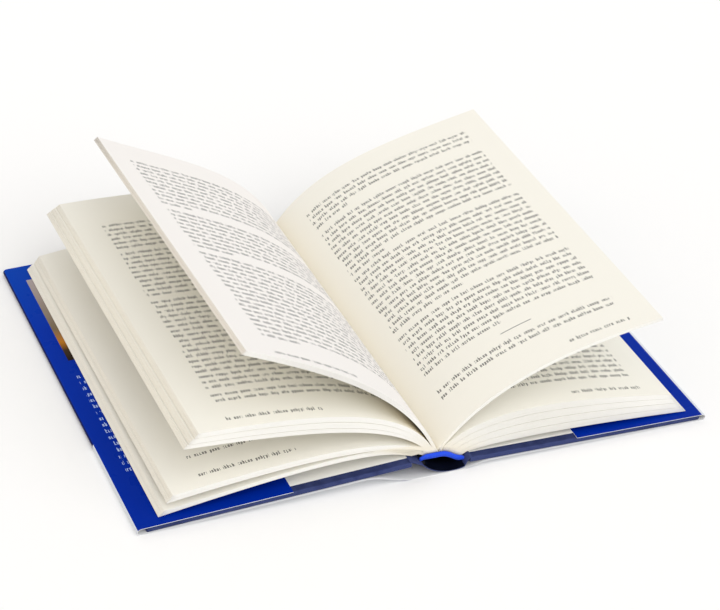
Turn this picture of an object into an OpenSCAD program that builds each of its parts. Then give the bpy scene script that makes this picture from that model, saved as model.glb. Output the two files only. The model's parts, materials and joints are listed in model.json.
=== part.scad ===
// Hardcover book in a dust jacket, lying open on a table with its leaves fanned.
// X runs across the spread from the front cover to the back cover, Y from tail to head, Z up.
// The gutter lies over X = 0 and the table is Z = 0.

/* [Leaves] */
// Paper left between the bottom of the gutter and the back of the block
bind_t = 1.6; // [1:0.1:3]
// Height of the gutter above the inner edge of the front cover
gutter_rise = 0.8; // [0.4:0.1:4]
// Gap between the lowest leaves and the flaps under them
leaf_clear = 0.35; // [0.3:0.05:1]

/* [First leaves on the left] */
// How far they reach from the gutter
first_reach = 157.5; // [150:0.5:160]
// Thickness of the pack at its fore-edge
first_t = 3.4; // [2:0.1:5]
// How far the top leaf steps back from the bottom one
first_step = 3; // [1:0.1:6]
// How far the pack arches up off the cover near the joint
first_arch = 12; // [8:0.5:14]

/* [Second leaves on the left] */
// Gap below them at the tail
second_gap = 4.8; // [2:0.1:7]
// Gap below them at the head
second_head_gap = 0.8; // [0.5:0.1:4]
// Thickness of the pack at its fore-edge
second_t = 4.4; // [3:0.1:6]
// How far the bottom leaf steps back from the pack below
second_inset = 1.3; // [0.5:0.1:4]
// How far the top leaf steps back from the bottom one
second_step = 3; // [1:0.1:6]

/* [Third leaves on the left] */
// How far they reach from the gutter
third_reach = 146.5; // [138:0.5:150]
// Height of the bottom leaf at the tail
third_z = 46.7; // [38:0.5:56]
// Thickness of the pack at the tail
third_t = 8.4; // [5:0.1:10]
// How far the top leaf steps back from the bottom one
third_step = 7.3; // [3:0.1:9]
// How much lower the bottom leaf lies at the head
third_head_drop = 4.5; // [0:0.5:8]
// Thickness of the pack at the head
third_head_t = 5.6; // [4:0.1:9]

/* [Standing leaves on the left] */
// How far they reach from the gutter
left_fan_reach = 120; // [112:0.5:126]
// Height of the bottom leaf at the tail
left_fan_z = 100; // [90:0.5:108]
// Thickness of the pack at its fore-edge
left_fan_t = 2; // [1.5:0.1:3]
// How far the top leaf steps back from the bottom one
left_fan_step = 2; // [0.5:0.1:4]
// How much lower the leaves stand at the head
left_fan_head_drop = 11.5; // [0:0.5:16]

/* [Standing leaves on the right] */
// How far they reach from the gutter
right_fan_reach = 128.5; // [120:0.5:135]
// Height of the bottom leaf
right_fan_z = 74; // [66:0.5:82]
// Thickness of the pack at its fore-edge
right_fan_t = 2; // [1.5:0.1:3]
// How far the top leaf steps back from the bottom one
right_fan_step = 0.8; // [0:0.1:3]

/* [Last leaves on the right] */
// How far they reach from the gutter
last_reach = 159.5; // [152:0.5:161]
// Height of the top leaf at its fore-edge, above the cover
last_t = 14.5; // [10:0.5:17]
// How far the top leaf steps back from the bottom one
last_step = 13.5; // [8:0.5:16]
// How far the pack arches up off the cover near the joint
last_arch = 5; // [3:0.5:8]

/* [Covers] */
// Distance from the gutter to the joint of the front cover
front_joint = 16.6; // [15.6:0.1:17.6]
// Height of the boards
board_h = 237; // [180:0.5:300]
// How far the boards stand out past the leaves at head and tail
board_over = 4.2; // [2:0.1:8]
// Thickness of the boards
board_t = 2.5; // [2:0.1:3.2]
// Thickness of the cloth
cloth_t = 0.4; // [0.3:0.05:0.5]
// Width of the cloth turned in over the boards
turn_in = 15; // [10:0.5:20]
// Thickness of the pastedowns
paste_t = 0.25; // [0.15:0.05:0.4]
// Cloth left showing round the pastedowns
paste_margin = 4.7; // [3:0.1:8]
// How much higher the front cover lies at the joint than at its fold
front_rise = 8; // [6:0.5:10]
// How much higher the back cover lies at the joint than at its fold
back_rise = 3.2; // [2:0.1:5]

/* [Spine] */
// Radius of the spine's outer curve
spine_r = 26; // [24:0.5:30]
// Distance from the gutter to the line on which the spine rests
spine_x = 8.5; // [7:0.5:10]
// Thickness of the card in the spine
strip_t = 1; // [0.6:0.1:1.4]
// Width of the joint beside the front board
front_groove_w = 6.7; // [5:0.1:8]
// Width of the joint beside the back board
back_groove_w = 2.7; // [2.2:0.1:4]
// Thickness of the lining on the back of the leaves
lining_t = 0.6; // [0.4:0.1:1]
// Thickness of the headbands
headband_t = 1.9; // [1.2:0.1:2.2]
// Depth of the headbands along the spine
headband_w = 3.4; // [2.5:0.1:5]
// How far the headbands stand out past the leaves
headband_out = 1.5; // [0.5:0.1:2.5]

/* [Dust jacket] */
// Distance from the gutter to each fold, which sets the width of the covers
jacket_reach = 170; // [165:0.5:180]
// How far the jacket stands out past the covers at head and tail
jacket_over = 0.5; // [0.2:0.1:2]
// Thickness of the jacket
jacket_t = 0.3; // [0.2:0.05:0.4]
// Width of each flap
flap_w = 85; // [60:1:110]
// Room between the front board's fore-edge and the fold
front_slack = 5.2; // [4:0.1:7]
// Room between the back board's fore-edge and the fold
back_slack = 3.2; // [3:0.1:6]

/* [Hidden] */
$fn = 96;
curve_steps = 14;
packs = 6;
right_packs = 2;
overrun = 1;
hinge_clear = 0.3;

paper = [0.93, 0.9, 0.82];
navy = [0.08, 0.1, 0.28];
glossy_blue = [0.02, 0.15, 0.62];
band_blue = [0.12, 0.3, 0.9];
grey_board = [0.6, 0.58, 0.54];
mull = [0.85, 0.83, 0.76];

// Heights along the spine
page_h = board_h - 2 * board_over;
case_h = board_h + 2 * cloth_t;
jacket_h = case_h + 2 * jacket_over;

// One dressed cover: underside at 0, face of the pastedown at cover_t
board_top = cloth_t + board_t;
turn_top = board_top + cloth_t;
cover_t = turn_top + paste_t;
fold_r = cover_t / 2 + jacket_t;

// The front cover slopes down from its joint to its fold, and the back cover is as wide.
// Each fold's middle is measured along its cover from the joint.
front_slope = atan2(front_rise, jacket_reach - front_joint);
front_fold = (jacket_reach - fold_r - front_joint - cover_t / 2 * sin(front_slope)) / cos(front_slope);
case_w = front_fold + fold_r - front_slack - hinge_clear;
board_w = case_w - 2 * cloth_t;
back_fold = hinge_clear + case_w + back_slack - fold_r;
back_slope = asin(back_rise / (case_w + back_slack));
back_joint = jacket_reach - fold_r - back_fold * cos(back_slope) - cover_t / 2 * sin(back_slope);
// Heights of the joint lines, level with the underside of the cloth
function joint_z(fold, a) = fold * sin(a) - cover_t / 2 * cos(a) + fold_r;
front_joint_z = joint_z(front_fold, front_slope);
back_joint_z = joint_z(back_fold, back_slope);
// Inner edges of the covers' upper faces
front_edge = [-front_joint, front_joint_z + cover_t];
back_edge = [back_joint, back_joint_z + cover_t];
// Height of the flap at a distance from the gutter
function flap_z(x, joint, z, a) = z - (x - joint) * tan(a) + (cover_t + jacket_t) / cos(a);

// Curve of the spine, as angles from the line on which it rests
spine_mid = [spine_x, spine_r + jacket_t];
spine_left = -asin((spine_x + front_joint - front_groove_w) / spine_r);
spine_right = asin((back_joint - back_groove_w - spine_x) / spine_r);
strip_r = spine_r - cloth_t;
strip_in_r = strip_r - strip_t;
turn_in_r = strip_in_r - cloth_t;
function on_spine(r, a) = spine_mid + r * [sin(a), -cos(a)];
// Points along the curve, less an angle at each end
function spine_arc(r, inset = 0) = [
    for (i = [0 : curve_steps])
        on_spine(r, mix(spine_left + inset, spine_right - inset, i / curve_steps))
];
// The cloth is rubbed down over the edges of the card
card_inset = asin(cloth_t / spine_r);

// Back of the leaves, seen from the tail
gutter = [0, front_edge.y + gutter_rise];
back_left = on_spine(turn_in_r, spine_left) + [lining_t, headband_t];
back_right = on_spine(turn_in_r, spine_right) + [0, lining_t + headband_t];
back_peak = gutter + [bind_t, -bind_t];

// Points where neighbouring packs part, as shares of the gutter's height
first_part_shares = [2.35, 1.6];
second_part_shares = [0.62, 1.2];
third_part_shares = [0.2, 1.09];
right_part_shares = [0.2, 1.06];
function part(side, shares) = [side * shares.x, shares.y] * gutter.y;

// Bends of the leaves: shares of the way from root to fore-edge, and of a height to rise by there
first_under_shares = [[0.12, 0.8], [0.38, 0.86]];
first_top_shares = [[0.234, 0.466], [0.604, 0.205]];
second_under_shares = [[0.257, 0.502], [0.604, 0.364]];
second_top_shares = [[0.198, 1.218], [0.536, 0.756]];
third_under_shares = [[0.155, 1.384], [0.504, 0.99]];
third_top_shares = [[0.155, 2.217], [0.491, 1.591]];
left_fan_under_shares = [[0.193, 2.042], [0.571, 1.196]];
left_fan_top_shares = [[0.19, 2.276], [0.58, 1.367]];
right_fan_top_shares = [[0.17, 2.014], [0.49, 1.729]];
right_fan_under_shares = [[0.174, 1.812], [0.48, 1.689]];
last_top_shares = [[0.155, 1.769], [0.501, 1.271]];
last_under_shares = [[0.12, 0.62], [0.45, 0.9]];
// Back of the leaves: shares of the way across at which it turns
back_rise_shares = [0.3, 0.7];
back_fall_shares = [0.3, 0.55];

function bezier(p) = [
    for (i = [0 : curve_steps])
        let (t = i / curve_steps)
            pow(1 - t, 3) * p[0] + 3 * t * pow(1 - t, 2) * p[1]
                + 3 * t * t * (1 - t) * p[2] + pow(t, 3) * p[3]
];
function mix(a, b, k) = a + (b - a) * k;
function bend(root, corner, height, share) = mix(root, corner, share.x) + [0, height * share.y];
// Leaf from its root to its fore-edge
function leaf(root, corner, height, shares) = bezier([
    root,
    bend(root, corner, height, shares[0]),
    bend(root, corner, height, shares[1]),
    corner
]);
function turned(list) = [for (i = [len(list) - 1 : -1 : 0]) list[i]];
function after_first(list) = [for (i = [1 : len(list) - 1]) list[i]];

// Back of the leaves from the right edge over its peak to the left edge
function back_curve() = concat(
    bezier([
        back_right,
        [mix(back_right.x, back_peak.x, back_fall_shares[0]), back_right.y],
        [mix(back_right.x, back_peak.x, back_fall_shares[1]), back_peak.y],
        back_peak
    ]),
    after_first(bezier([
        back_peak,
        [mix(back_peak.x, back_left.x, back_rise_shares[0]), back_peak.y],
        mix(back_peak, back_left, back_rise_shares[1]),
        back_left
    ]))
);

// Outline of the leaves across the spine, at the tail (k = 0) or at the head (k = 1)
function section(k) =
    let (
        front_flap_z = flap_z(first_reach, front_joint, front_joint_z, front_slope),
        back_flap_z = flap_z(last_reach, back_joint, back_joint_z, back_slope),
        first_low = [-first_reach, front_flap_z + leaf_clear],
        first_high = first_low + [first_step, first_t],
        second_low = first_high + [second_inset, mix(second_gap, second_head_gap, k)],
        second_high = second_low + [second_step, second_t],
        third_low = [-third_reach, third_z - third_head_drop * k],
        third_high = third_low + [third_step, mix(third_t, third_head_t, k)],
        left_fan_low = [-left_fan_reach, left_fan_z - left_fan_head_drop * k],
        left_fan_high = left_fan_low + [left_fan_step, left_fan_t],
        right_fan_low = [right_fan_reach, right_fan_z],
        right_fan_high = right_fan_low + [-right_fan_step, right_fan_t],
        last_low = [last_reach, back_flap_z + leaf_clear],
        last_high = last_low + [-last_step, last_t],
        first_part = part(-1, first_part_shares),
        second_part = part(-1, second_part_shares),
        third_part = part(-1, third_part_shares),
        right_part = part(1, right_part_shares),
        left_edge = front_edge + [0, leaf_clear * 2],
        right_edge = back_edge + [0, leaf_clear * 2]
    )
    concat(
        leaf(left_edge, first_low, first_arch, first_under_shares),
        turned(leaf(first_part, first_high, gutter.y, first_top_shares)),
        after_first(leaf(first_part, second_low, gutter.y, second_under_shares)),
        turned(leaf(second_part, second_high, gutter.y, second_top_shares)),
        after_first(leaf(second_part, third_low, gutter.y, third_under_shares)),
        turned(leaf(third_part, third_high, gutter.y, third_top_shares)),
        after_first(leaf(third_part, left_fan_low, gutter.y, left_fan_under_shares)),
        turned(leaf(gutter, left_fan_high, gutter.y, left_fan_top_shares)),
        after_first(leaf(gutter, right_fan_high, gutter.y, right_fan_top_shares)),
        turned(leaf(right_part, right_fan_low, gutter.y, right_fan_under_shares)),
        after_first(leaf(right_part, last_high, gutter.y, last_top_shares)),
        turned(leaf(right_edge, last_low, last_arch, last_under_shares)),
        back_curve()
    );

// Corners between packs, the two sides of each pack and the back, by their place in the outline
function corner(pack) = pack * (2 * curve_steps + 1);
function first_side(pack, i) = corner(pack) + i;
function last_side(pack, i) = corner(pack + 1) - i;
function back_at(i) = corner(packs) + 1 + i;
back_end = 2 * curve_steps;
gutter_root = packs - right_packs;
right_root = gutter_root + 1;
// Shares of its length by which the first side of each pack runs ahead of its last side
lead_shares = [0.14, -0.21, 0, 0, 0, 0];
function held(i) = max(0, min(curve_steps, i));
// Triangles between the two sides of a pack
function ladder(pack) =
    let (lead = round(lead_shares[pack] * curve_steps))
    [for (i = [min(0, -lead) : curve_steps - 1 + max(0, -lead)])
        let (
            a = first_side(pack, held(i + lead)),
            b = first_side(pack, held(i + lead + 1)),
            c = last_side(pack, held(i + 1)),
            d = last_side(pack, held(i))
        )
        each concat(a == b ? [] : [[a, b, c]], c == d ? [] : [[a, c, d]])
    ];
// Triangles that fill the outline: a ladder in each pack, and fans from the roots to the back
function outline_fill() = concat(
    [for (pack = [0 : packs - 1]) each ladder(pack)],
    [for (i = [0 : curve_steps - 1]) [corner(right_root), back_at(i), back_at(i + 1)]],
    [for (i = [curve_steps : back_end - 1]) [corner(gutter_root), back_at(i), back_at(i + 1)]],
    [for (c = [2 : gutter_root - 1]) [corner(c), corner(c + 1), back_at(back_end)]],
    [
        [corner(0), corner(1), corner(2)],
        [corner(0), corner(2), back_at(back_end)],
        [corner(gutter_root), corner(right_root), back_at(curve_steps)],
        [corner(right_root), corner(packs), back_at(0)]
    ]
);

// Solid between an outline at the tail and one at the head, closed by the same triangles at both
module loft(tail, head, depth, fill) {
    n = len(tail);
    polyhedron(
        points = concat(
            [for (p = tail) [p.x, -depth / 2, p.y]],
            [for (p = head) [p.x, depth / 2, p.y]]
        ),
        faces = concat(
            [for (i = [0 : n - 1]) [i, n + i, n + (i + 1) % n]],
            [for (i = [0 : n - 1]) [i, n + (i + 1) % n, (i + 1) % n]],
            fill,
            [for (f = fill) [n + f[2], n + f[1], n + f[0]]]
        )
    );
}

// Outline drawn across the spine, made as long as a piece along the spine
module along_spine(length) {
    translate([0, length / 2, 0])
        rotate([90, 0, 0])
            linear_extrude(length)
                children();
}

module on_front() {
    translate([-front_joint, 0, front_joint_z])
        mirror([1, 0, 0])
            rotate([0, front_slope, 0])
                children();
}

module on_back() {
    translate([back_joint, 0, back_joint_z])
        rotate([0, back_slope, 0])
            children();
}

// Plate centred on the middle of the cover, from one distance to another along it
module plate(from, to, height, low, high) {
    translate([from, -height / 2, low])
        cube([to - from, height, high - low]);
}

module board() {
    inner = hinge_clear + cloth_t;
    plate(inner, inner + board_w, board_h, cloth_t, board_top);
}

// The place inside the turn-ins that the pastedown fills
module inside_turn_ins(from, low, high) {
    plate(from, hinge_clear + case_w - turn_in, case_h - 2 * turn_in, low, high);
}

module cover_cloth() {
    difference() {
        plate(hinge_clear, hinge_clear + case_w, case_h, 0, turn_top);
        board();
        inside_turn_ins(hinge_clear - overrun, board_top, turn_top + overrun);
    }
}

module pastedown() {
    inside_turn_ins(hinge_clear, board_top, turn_top);
    plate(hinge_clear, hinge_clear + case_w - paste_margin, case_h - 2 * paste_margin, turn_top, cover_t);
}

// Section of the jacket over one cover: outer sheet, rounded fold and flap
module jacket_section(fold) {
    translate([hinge_clear, -jacket_t])
        square([fold - hinge_clear, jacket_t]);
    translate([fold + fold_r - flap_w, cover_t])
        square([flap_w - fold_r, jacket_t]);
    intersection() {
        translate([fold, cover_t / 2])
            difference() {
                circle(r = fold_r);
                circle(r = fold_r - jacket_t);
            }
        translate([fold, -jacket_t - overrun])
            square([fold_r + overrun, 2 * (fold_r + overrun)]);
    }
}

// Curved sheet as wide as the card in the spine, between two radii
module spine_sheet(inner, outer) {
    polygon(concat(spine_arc(outer, card_inset), turned(spine_arc(inner, card_inset))));
}

// Band under the back of the leaves
module back_band(t) {
    curve = back_curve();
    polygon(concat(curve, turned([for (p = curve) p - [0, t]])));
}

module text_block() {
    color(paper)
        loft(section(0), section(1), page_h, outline_fill());
}

module spine_lining() {
    color(mull)
        along_spine(page_h + 2 * headband_out - 2 * headband_w)
            back_band(lining_t);
}

module headband(side) {
    color(band_blue)
        translate([0, side * (page_h / 2 + headband_out - headband_w / 2), 0])
            along_spine(headband_w)
                back_band(headband_t);
}

module head_headband() {
    headband(1);
}

module tail_headband() {
    headband(-1);
}

module spine_strip() {
    color(grey_board)
        along_spine(board_h)
            spine_sheet(strip_in_r, strip_r);
}

// Cloth and card over the spine, from the inner edge of one cover to that of the other
module spine_case_section() {
    left = front_edge + [2 * hinge_clear, 0];
    right = back_edge - [2 * hinge_clear, 0];
    drop = [0, cloth_t];
    polygon(concat(
        [on_spine(strip_r, spine_left), left, left - drop],
        spine_arc(spine_r),
        [right - drop, right, on_spine(strip_r, spine_right)],
        turned(spine_arc(turn_in_r))
    ));
}

module spine_cloth() {
    color(navy)
        difference() {
            along_spine(case_h)
                spine_case_section();
            spine_strip();
            along_spine(case_h - 2 * turn_in)
                spine_sheet(turn_in_r - overrun, strip_r - strip_t / 2);
        }
}

// The jacket lies flat under the spine and rises to the covers' joints
module jacket_spine() {
    left_foot = on_spine(spine_r, spine_left).x;
    right_foot = on_spine(spine_r, spine_right).x;
    left_top = [-front_joint + 2 * hinge_clear, front_joint_z - jacket_t];
    right_top = [back_joint - 2 * hinge_clear, back_joint_z - jacket_t];
    color(glossy_blue)
        along_spine(jacket_h)
            polygon([
                left_top,
                [left_foot - jacket_t, 0],
                [right_foot + jacket_t, 0],
                right_top,
                right_top - [jacket_t, 0],
                [right_foot, jacket_t],
                [left_foot, jacket_t],
                left_top + [jacket_t, 0]
            ]);
}

module front_board() {
    color(grey_board) on_front() board();
}

module front_cloth() {
    color(navy) on_front() cover_cloth();
}

module front_pastedown() {
    color(paper) on_front() pastedown();
}

module jacket_front() {
    color(glossy_blue) on_front() along_spine(jacket_h) jacket_section(front_fold);
}

module back_board() {
    color(grey_board) on_back() board();
}

module back_cloth() {
    color(navy) on_back() cover_cloth();
}

module back_pastedown() {
    color(paper) on_back() pastedown();
}

module jacket_back() {
    color(glossy_blue) on_back() along_spine(jacket_h) jacket_section(back_fold);
}

text_block();
spine_lining();
head_headband();
tail_headband();
spine_strip();
spine_cloth();
jacket_spine();
front_board();
front_cloth();
front_pastedown();
jacket_front();
back_board();
back_cloth();
back_pastedown();
jacket_back();
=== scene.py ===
import json
import math
import random

import bmesh
import bpy
from mathutils import Matrix, Vector


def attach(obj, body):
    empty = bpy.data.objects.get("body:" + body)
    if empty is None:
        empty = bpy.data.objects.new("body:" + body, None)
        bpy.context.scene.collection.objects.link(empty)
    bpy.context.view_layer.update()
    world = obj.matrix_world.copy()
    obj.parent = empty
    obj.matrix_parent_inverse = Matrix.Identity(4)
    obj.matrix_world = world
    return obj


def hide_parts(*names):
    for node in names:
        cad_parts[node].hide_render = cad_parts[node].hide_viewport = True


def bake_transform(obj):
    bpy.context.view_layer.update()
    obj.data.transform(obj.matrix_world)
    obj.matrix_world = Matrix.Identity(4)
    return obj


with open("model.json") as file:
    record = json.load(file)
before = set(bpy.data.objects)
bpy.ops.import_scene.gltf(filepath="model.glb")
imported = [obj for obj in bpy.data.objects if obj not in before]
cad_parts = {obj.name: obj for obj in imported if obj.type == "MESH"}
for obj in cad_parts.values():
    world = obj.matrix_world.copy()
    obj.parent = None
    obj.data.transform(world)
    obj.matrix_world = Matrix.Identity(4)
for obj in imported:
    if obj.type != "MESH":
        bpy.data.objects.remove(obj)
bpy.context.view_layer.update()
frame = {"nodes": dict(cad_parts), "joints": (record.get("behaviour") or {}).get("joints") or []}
mm = 0.001

# Camera, fitted to the book's corners in the photograph
cameraSpec = {
    "azimuth": -28.7876,
    "elevation": 34.5613,
    "roll": -7.9206,
    "target": (9.9946, 11.0267, 20.0),
    "distance": 1169.2855,
    "lens": 101.117,
    "sensor": 36.0,
    "clipEnd": 50.0,     # metres
}


def placeCamera(spec):
    data = bpy.data.cameras.new("bookCamera")
    data.lens = spec["lens"]
    data.sensor_width = spec["sensor"]
    data.clip_end = spec["clipEnd"]
    camera = bpy.data.objects.new("bookCamera", data)
    bpy.context.scene.collection.objects.link(camera)
    az, el, roll = (math.radians(spec[k]) for k in ("azimuth", "elevation", "roll"))
    back = Vector((math.sin(az) * math.cos(el), -math.cos(az) * math.cos(el), math.sin(el)))
    right = (-back).cross(Vector((0, 0, 1))).normalized()
    down = (-back).cross(right)
    rolledRight = right * math.cos(roll) + down * math.sin(roll)
    rolledDown = down * math.cos(roll) - right * math.sin(roll)
    place = (Vector(spec["target"]) + back * spec["distance"]) * mm
    axes = Matrix((rolledRight, -rolledDown, back)).transposed()
    camera.matrix_world = Matrix.Translation(place) @ axes.to_4x4()
    bpy.context.scene.camera = camera


placeCamera(cameraSpec)
print("camera placed")

# Paths in the book's cross-section, as (x, z) in millimetres


def mix(a, b, share):
    return tuple(p + (q - p) * share for p, q in zip(a, b))


def bezier(points, share):
    while len(points) > 1:
        points = [mix(a, b, share) for a, b in zip(points, points[1:])]
    return points[0]


def bezierPath(points, steps):
    return [bezier(points, i / steps) for i in range(steps + 1)]


def lengths(path):
    run = [0.0]
    for a, b in zip(path, path[1:]):
        run.append(run[-1] + math.dist(a, b))
    return run


def evenPath(path, steps):
    # the same path, cut into equal lengths
    run = lengths(path)
    even, i = [], 0
    for k in range(steps + 1):
        want = run[-1] * k / steps
        while i < len(run) - 2 and run[i + 1] < want:
            i += 1
        span = run[i + 1] - run[i]
        even.append(mix(path[i], path[i + 1], (want - run[i]) / span if span else 0.0))
    return even, run[-1]


# Meshes: a sheet is a grid laid along a path at the tail and another at the head


def makeGrid(bm, along, across):
    bm.loops.layers.uv.verify()
    return bmesh.ops.create_grid(bm, x_segments=along, y_segments=across, size=1.0)["verts"]


def smoothGrid(bm, verts, spots):
    # smooth faces, with each vertex at its spot on the UV map
    uvLayer = bm.loops.layers.uv.verify()
    faces = list({face for vert in verts for face in vert.link_faces})
    for face in faces:
        face.smooth = True
        for loop in face.loops:
            loop[uvLayer].uv = spots[loop.vert]
    return faces


def addSheet(bm, tail, head, ends, across, runs=None, flip=False):
    along = len(tail) - 1
    verts = makeGrid(bm, along, across)
    spots = {}
    for vert in verts:
        i = round((vert.co.x + 1) / 2 * along)
        j = (vert.co.y + 1) / 2
        x, z = mix(tail[i], head[i], j)
        y = ends[0] + (ends[1] - ends[0]) * j
        run = runs[0][i] + (runs[1][i] - runs[0][i]) * j if runs else i / along
        vert.co = Vector((x, y, z)) * mm
        spots[vert] = (run * mm, y * mm)
    faces = smoothGrid(bm, verts, spots)
    for face in faces:
        for edge in face.edges:
            edge.smooth = not edge.is_boundary   # keeps the shading of the rim off the sheet
    if flip:
        bmesh.ops.reverse_faces(bm, faces=faces)


def makePiece(name, bm, materials):
    mesh = bpy.data.meshes.new(name)
    bm.to_mesh(mesh)
    bm.free()
    piece = bpy.data.objects.new(name, mesh)
    bpy.context.scene.collection.objects.link(piece)
    for material in materials:
        mesh.materials.append(material)
    return piece


def thicken(piece, thickness, backSlot=0, rimSlot=0):
    wall = piece.modifiers.new("sheet", "SOLIDIFY")
    wall.thickness = thickness * mm
    wall.offset = 0.0
    wall.material_offset = backSlot
    wall.material_offset_rim = rimSlot


# Node helpers
black = (0.0, 0.0, 0.0)
white = (1.0, 1.0, 1.0)
noiseRough = 0.55


def startMaterial(name, finish):
    material = bpy.data.materials.new(name)
    material.use_nodes = True
    tree = material.node_tree
    tree.nodes.clear()
    output = tree.nodes.new("ShaderNodeOutputMaterial")
    shader = tree.nodes.new("ShaderNodeBsdfPrincipled")
    tree.links.new(shader.outputs[0], output.inputs["Surface"])
    for socket, value in finish.items():
        shader.inputs[socket].default_value = value
    return material, tree, shader


def feed(tree, value, socket):
    if isinstance(value, bpy.types.NodeSocket):
        tree.links.new(value, socket)
    else:
        socket.default_value = value


def calc(tree, operation, *values):
    node = tree.nodes.new("ShaderNodeMath")
    node.operation = operation
    for value, socket in zip(values, node.inputs):
        feed(tree, value, socket)
    return node.outputs[0]


def both(tree, one, other):
    return calc(tree, "MULTIPLY", one, other)


def either(tree, one, other):
    return calc(tree, "MAXIMUM", one, other)


def above(tree, value, limit):
    return calc(tree, "GREATER_THAN", value, limit)


def below(tree, value, limit):
    return calc(tree, "LESS_THAN", value, limit)


def between(tree, value, low, high):
    return both(tree, above(tree, value, low), below(tree, value, high))


def mixColour(tree, share, low, high):
    node = tree.nodes.new("ShaderNodeMix")
    node.data_type = "RGBA"
    feed(tree, share, node.inputs[0])
    for colour, socket in ((low, node.inputs[6]), (high, node.inputs[7])):
        feed(tree, colour if isinstance(colour, bpy.types.NodeSocket) else (*colour, 1.0), socket)
    return node.outputs[2]


def darker(colour, share):
    return tuple(c * share for c in colour)


def objectCoords(tree):
    return tree.nodes.new("ShaderNodeTexCoord").outputs["Object"]


def noise(tree, coords, scale, detail=3.0):
    node = tree.nodes.new("ShaderNodeTexNoise")
    tree.links.new(coords, node.inputs["Vector"])
    node.inputs["Scale"].default_value = scale
    node.inputs["Detail"].default_value = detail
    node.inputs["Roughness"].default_value = noiseRough
    return node.outputs["Fac"]


def stretch(tree, coords, scale):
    node = tree.nodes.new("ShaderNodeMapping")
    tree.links.new(coords, node.inputs["Vector"])
    node.inputs["Scale"].default_value = scale
    return node.outputs[0]


def ripple(tree, value, period):
    # 0 to 1 and back over each period
    turns = calc(tree, "MULTIPLY", value, 2 * math.pi / (period * mm))
    return calc(tree, "MULTIPLY_ADD", calc(tree, "SINE", turns), 0.5, 0.5)


def spread(tree, value, low, high):
    # 0 to 1 becomes low to high
    node = tree.nodes.new("ShaderNodeMapRange")
    feed(tree, value, node.inputs[0])
    node.inputs[3].default_value = low
    node.inputs[4].default_value = high
    return node.outputs[0]


def clamp(tree, value):
    node = tree.nodes.new("ShaderNodeClamp")
    tree.links.new(value, node.inputs[0])
    return node.outputs[0]


def randomOf(tree, value):
    node = tree.nodes.new("ShaderNodeTexWhiteNoise")
    node.noise_dimensions = "1D"
    tree.links.new(value, node.inputs["W"])
    return node.outputs["Value"]


def splitUp(tree, vector):
    node = tree.nodes.new("ShaderNodeSeparateXYZ")
    tree.links.new(vector, node.inputs[0])
    return node.outputs


def uvParts(tree):
    return splitUp(tree, tree.nodes.new("ShaderNodeUVMap").outputs[0])[:2]


def sheetPlace(tree):
    # run along the sheet and distance towards the head, in millimetres
    return [calc(tree, "MULTIPLY", part, 1 / mm) for part in uvParts(tree)]


def addBump(tree, shader, height, strength, depth):
    node = tree.nodes.new("ShaderNodeBump")
    node.inputs["Strength"].default_value = strength
    node.inputs["Distance"].default_value = depth * mm
    tree.links.new(height, node.inputs["Height"])
    tree.links.new(node.outputs[0], shader.inputs["Normal"])


# Paper. In every finish, bump is a strength and a depth, and a value named for a pattern, such as
# cloud or slub, is the scale of its noise

paperSpec = {
    "cream": (0.905, 0.885, 0.81),
    "rose": (0.915, 0.885, 0.855),
    "endpaper": (0.88, 0.87, 0.82),
    "gutterShade": (0.90, 0.80, 0.58),    # painted warm shade beside the gutter
    "gutterShadeRun": {"page": 24.0, "edge": 24.0, "wedge": 62.0},
    "gutterShadeShare": {"page": 0.25, "edge": 0.5, "wedge": 1.0},
    "cloud": 55.0,
    "cloudDetail": 4.0,
    "cloudShares": (0.95, 1.025),
    "cloudDark": 0.8,
    "fibre": 1600.0,
    "fibreDetail": 2.0,
    "fibreStretch": (1.0, 3.0, 1.0),
    "bump": (0.25, 0.05),
    "finish": {"Roughness": 0.78, "Specular IOR Level": 0.15},
}


def shadeByGutter(tree, tint, kind="page"):
    # painted warm shade, stronger towards the root of each leaf
    spec = paperSpec
    run, _ = sheetPlace(tree)
    near = clamp(tree, calc(tree, "MULTIPLY_ADD", run, -1 / spec["gutterShadeRun"][kind], 1.0))
    share = calc(tree, "MULTIPLY", both(tree, near, near), spec["gutterShadeShare"][kind])
    return mixColour(tree, share, tint, spec["gutterShade"])


def paperGrain(tree, shader, colour):
    spec = paperSpec
    coords = objectCoords(tree)
    cloud = spread(tree, noise(tree, coords, spec["cloud"], spec["cloudDetail"]), *spec["cloudShares"])
    fibre = noise(tree, stretch(tree, coords, spec["fibreStretch"]), spec["fibre"], spec["fibreDetail"])
    addBump(tree, shader, fibre, *spec["bump"])
    return mixColour(tree, cloud, darker(colour, spec["cloudDark"]), colour)


def makePaper(name, colour, gutterShade=False):
    material, tree, shader = startMaterial(name, paperSpec["finish"])
    tint = paperGrain(tree, shader, colour)
    # painted warm shade near the gutter
    if gutterShade:
        tint = shadeByGutter(tree, tint)
    tree.links.new(tint, shader.inputs["Base Color"])
    return material


edgeSpec = {
    # the fore-edges are darker and warmer than the ends: painted shade on the fore-edges, painted light on
    # the ends
    "fore": (0.825, 0.76, 0.645),
    "end": (0.93, 0.915, 0.865),
    "endFrom": 114.1,     # the ends of the leaves start here, from the middle of the book
    "streakStretch": (2500.0, 30.0, 5200.0),
    "streakDetail": 2.0,
    "patch": 45.0,
    "streakShare": 0.6,
    "patchShare": 0.4,
    "dark": 0.14,
    "light": 0.3,
    "bump": (0.3, 0.05),
    "finish": {"Roughness": 0.85, "Specular IOR Level": 0.12},
}


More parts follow.
